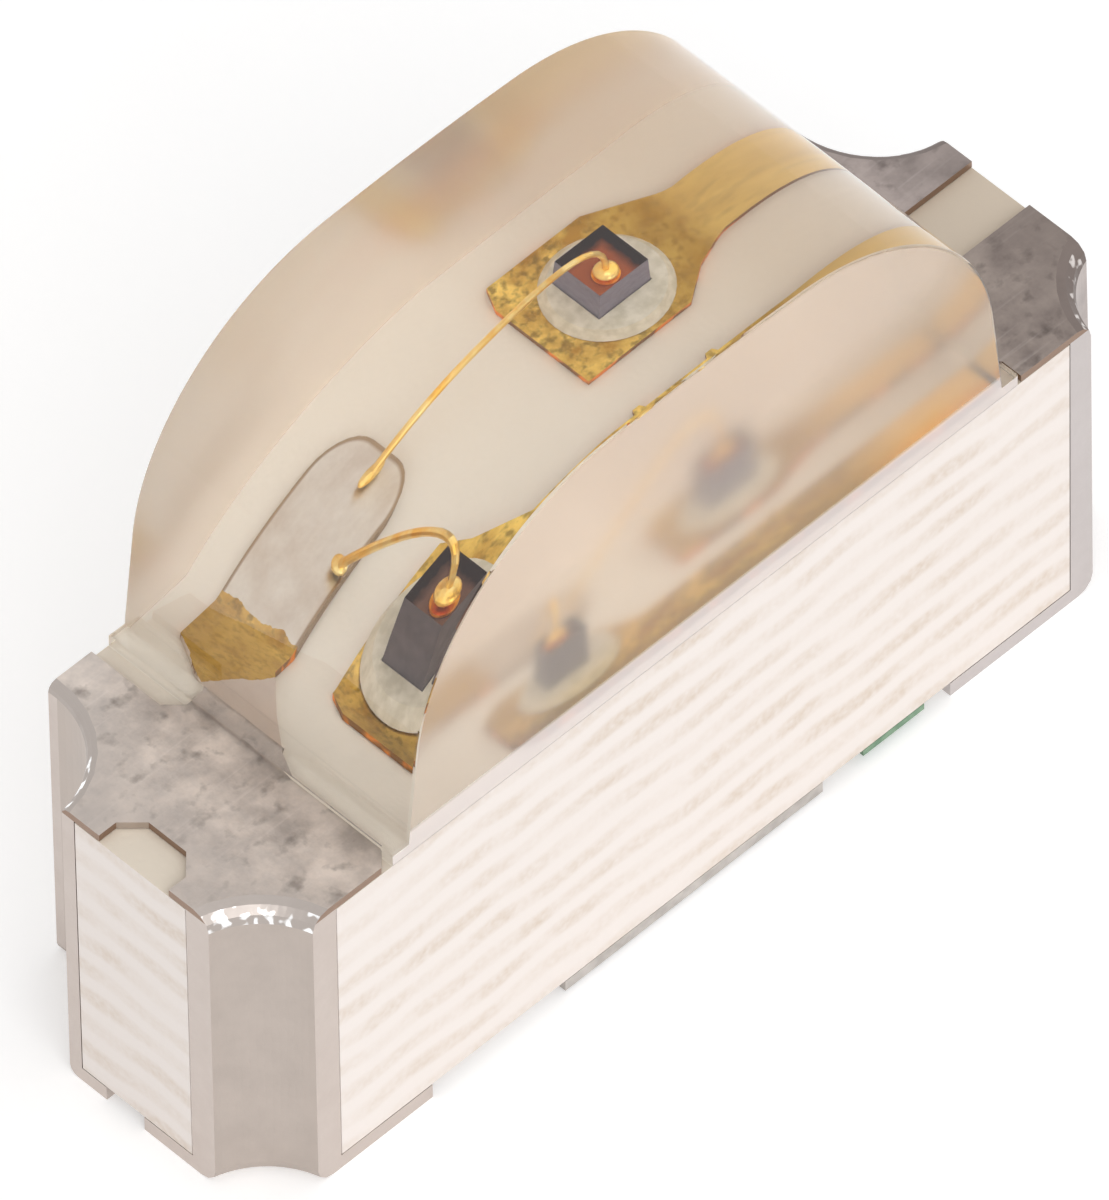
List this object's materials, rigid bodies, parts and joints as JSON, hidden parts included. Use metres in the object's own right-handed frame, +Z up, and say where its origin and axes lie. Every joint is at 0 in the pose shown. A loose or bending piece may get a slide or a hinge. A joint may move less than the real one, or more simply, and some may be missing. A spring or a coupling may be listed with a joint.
{
  "type": "smd led",
  "caption": "Two-colour side-view chip LED: clear arched epoxy lens on a glass-cloth board with plated quarter-hole corners, dice and bond wires inside.",
  "frame": {"origin": "centre of the underside, at the level of the solder lands that the part rests on", "axes": "+X along the board from the common end to the end with two lands, +Y to the back die's side, +Z up along the optical axis"},
  "size_m": [0.003, 0.001, 0.0019],
  "materials": {
    "laminate": "cream glass-cloth laminate, sawn sides that show the plies",
    "tin": "matte tin over copper outside the lens; the same copper is gold plated under the lens",
    "silver_resin": "silver-filled die-attach resin, satin",
    "crystal": "dark sawn semiconductor crystal",
    "gold": "soft bright gold",
    "resist": "thin matte resist film",
    "green_ink": "thin green printed mark",
    "epoxy": "clear, faintly warm epoxy; moulded faces glossy, sawn faces lightly frosted"
  },
  "bodies": {
    "root": {"board": "laminate", "common_terminal": "tin", "back_terminal": "tin", "front_terminal": "tin", "back_die_attach": "silver_resin", "front_die_attach": "silver_resin", "back_die": "crystal", "front_die": "crystal", "back_die_electrode": "gold", "front_die_electrode": "gold", "back_bond_wire": "gold", "front_bond_wire": "gold", "underside_resist": "resist", "polarity_mark": "green_ink", "lens": "epoxy"}
  },
  "joints": []
}
